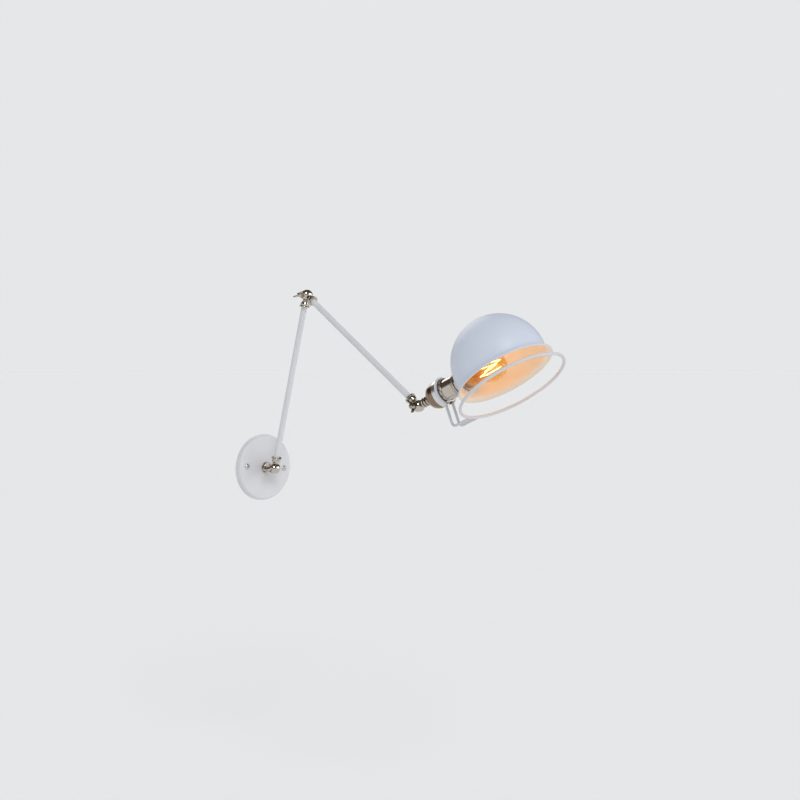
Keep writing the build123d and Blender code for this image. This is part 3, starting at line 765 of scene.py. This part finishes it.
def screw_blank():
    """A screw with a domed head on z = 0 and its shank below, before its slot is cut."""
    screw = begin(
        bpy.ops.mesh.primitive_cylinder_add,
        vertices=SCREW_SIDES,
        radius=SCREW_HEAD_RADIUS,
        depth=SCREW_EDGE_HEIGHT,
        location=(0, 0, SCREW_EDGE_HEIGHT / 2),
    )
    pick("FACE", faces_up)
    for inset, rise in DOME_STEPS:
        bpy.ops.mesh.inset(thickness=inset)
        raise_by(rise)
    pick("FACE", faces_down)
    bpy.ops.mesh.inset(thickness=SCREW_HEAD_RADIUS - SCREW_SHANK_RADIUS)
    push((0, 0, -SCREW_SHANK_LENGTH))
    close_edit()
    return screw


def slot_cutter():
    """A cross with tapered arms, centred on the top of the screw's head."""
    top = (0, 0, SCREW_TOP_HEIGHT)
    cutter = begin(bpy.ops.mesh.primitive_cube_add, size=SLOT_WIDTH, location=top)
    swell((1, 1, 2 * SLOT_DEPTH / SLOT_WIDTH), top)
    for way in (Vector((1, 0, 0)), Vector((-1, 0, 0)), Vector((0, 1, 0)), Vector((0, -1, 0))):
        side_centre = way * SLOT_WIDTH / 2
        pick("FACE", lambda face: (middle(face).xy - side_centre.xy).length < CLOSE)
        push(way * (SLOT_LENGTH - SLOT_WIDTH) / 2)
    pick("VERT", lambda corner: corner.co.z < SCREW_TOP_HEIGHT)
    swell((SLOT_TAPER, SLOT_TAPER, 1), top)
    close_edit()
    return cutter


def plate_screw_model():
    screw = screw_blank()
    cutter = slot_cutter()
    activate(screw)
    refine(screw, "BOOLEAN", "cross_slot", operation="DIFFERENCE", solver="EXACT", object=cutter)
    bpy.data.objects.remove(cutter)
    round_edges(screw, SCREW_BEVEL, SCREW_BEVEL_ANGLE)
    return screw


def plate_screws():
    model = plate_screw_model()
    line = Matrix.Rotation(math.radians(SCREW_LINE_TURN), 4, "Y")
    facing_room = Matrix.Rotation(math.radians(90), 4, "X")
    for side, along in (("left", -SCREW_SPACING), ("right", SCREW_SPACING)):
        slot_turn = Matrix.Rotation(math.radians(SCREW_SLOT_TURNS[side]), 4, "Z")
        place = line @ Matrix.Translation((along, PLATE_FACE, 0)) @ facing_room @ slot_turn
        settle(model, f"cross_screw_{side}", place, "base", "zinc_steel", "plate_screws")
    bpy.data.objects.remove(model)


def strand_point(step):
    """A point of the filament, counted from its first lower end, in the head's own directions."""
    turn = step / STRAND_STEPS
    swing = -math.asin(BEND_SHARPNESS * math.cos(math.pi * turn)) / math.asin(BEND_SHARPNESS)
    share = (swing + 1) / 2
    radius = FILAMENT_LOW_RADIUS + share * (FILAMENT_HIGH_RADIUS - FILAMENT_LOW_RADIUS)
    height = FILAMENT_LOW + share * (FILAMENT_HIGH - FILAMENT_LOW)
    angle = 2 * math.pi * turn / STRAND_PLACES
    return Vector((radius * math.cos(angle), radius * math.sin(angle), height))


def filament_wire():
    """A ring of edges, opened at one place, drawn out into the filament's path and given its thickness."""
    last = STRANDS * STRAND_STEPS
    begin(bpy.ops.mesh.primitive_circle_add, vertices=last + 1, radius=FILAMENT_LOW_RADIUS)
    pick("EDGE", lambda edge: {edge.verts[0].index, edge.verts[1].index} == {0, last})
    bpy.ops.mesh.delete(type="EDGE")
    bpy.ops.object.mode_set(mode="OBJECT")
    for corner in bpy.context.active_object.data.vertices:
        corner.co = strand_point(corner.index)
    bpy.ops.object.convert(target="CURVE")
    path = bpy.context.active_object.data
    path.bevel_depth = FILAMENT_WIRE
    path.bevel_resolution = WIRE_ROUNDNESS
    path.use_fill_caps = True
    bpy.ops.object.convert(target="MESH")
    wire = bpy.context.active_object
    settle(wire, "glowing_cage", head_place, "head", "glowing_filament", "filament")
    bpy.data.objects.remove(wire)


wing_nuts()
threaded_studs()
plate_screws()
filament_wire()


def place_lamp(lamp):
    holder = bpy.data.objects.new(lamp.name, lamp)
    bpy.context.collection.objects.link(holder)
    return holder


def soft_sun(name, source, strength, spread):
    """A wide, soft lamp far away, so that the floor is lit evenly."""
    lamp = bpy.data.lights.new(name, "SUN")
    lamp.energy = strength
    lamp.angle = math.radians(spread)
    place_lamp(lamp).rotation_euler = (-source).to_track_quat("-Z", "Y").to_euler()


def bulb_light():
    """The warm light of the filament, which moves with the head."""
    lamp = bpy.data.lights.new("bulb_light", "POINT")
    lamp.energy = BULB_POWER
    lamp.color = BULB_COLOUR
    lamp.shadow_soft_size = BULB_RADIUS
    holder = place_lamp(lamp)
    holder.parent = frame["bodies"]["head"]
    holder.location = filament_centre


def pale_world():
    """Even light from all round. The camera, mirrors and glass see a pale background instead, which for
    mirrors has a dark ceiling over it."""
    world = bpy.data.worlds.new("studio")
    bpy.context.scene.world = world
    studio = Shading(world, "ShaderNodeOutputWorld")

    def ray(kind):
        return studio.node("ShaderNodeLightPath", {}, {}, f"Is {kind} Ray")

    direction = studio.node("ShaderNodeTexCoord", {}, {}, "Generated")
    height = studio.node("ShaderNodeSeparateXYZ", {}, {0: direction}, "Z")
    mirrored = ray("Glossy")
    ceiling = height.between(CEILING_BEGINS, CEILING_FULL) * mirrored
    colour = studio.blend(ceiling, BACKGROUND, CEILING)
    seen = studio.node("ShaderNodeBackground", {}, {"Color": colour, "Strength": 1.0})
    light = studio.node("ShaderNodeBackground", {}, {"Color": EVEN_LIGHT, "Strength": EVEN_LIGHT_STRENGTH})
    shows_background = ray("Camera").larger(mirrored.larger(ray("Transmission")))
    studio.done(studio.mix(shows_background, light, seen))


def floor():
    deselect()
    bpy.ops.mesh.primitive_plane_add(size=FLOOR_SIZE, location=(0, 0, FLOOR_HEIGHT))
    plane = bpy.context.active_object
    plane.name = "floor"
    finish = Finish("floor")
    matt = finish.surface(Base_Color=FLOOR_COLOUR, Roughness=0.95, Specular_IOR_Level=0.0)
    plane.data.materials.append(finish.done(matt))


def photo_camera():
    """The camera of the photograph, level but for its small tilt and roll."""
    lens = bpy.data.cameras.new("photo_camera")
    lens.sensor_width = SENSOR
    lens.lens = FOCAL_PIXELS / IMAGE_WIDTH * SENSOR
    camera = bpy.data.objects.new("photo_camera", lens)
    bpy.context.collection.objects.link(camera)
    camera.location = CAMERA_PLACE
    turn, tilt = math.radians(CAMERA_TURN), math.radians(CAMERA_TILT)
    ahead = Vector((math.sin(turn) * math.cos(tilt), math.cos(turn) * math.cos(tilt), math.sin(tilt)))
    upright = ahead.to_track_quat("-Z", "Y").to_matrix()
    camera.rotation_euler = (upright @ Matrix.Rotation(math.radians(CAMERA_ROLL), 3, "Z")).to_euler()
    bpy.context.scene.camera = camera


photo_camera()
pale_world()
floor()
for name, (source, strength, spread) in SUNS.items():
    soft_sun(name, source, strength, spread)
bulb_light()
bpy.context.scene.view_settings.view_transform = "Standard"
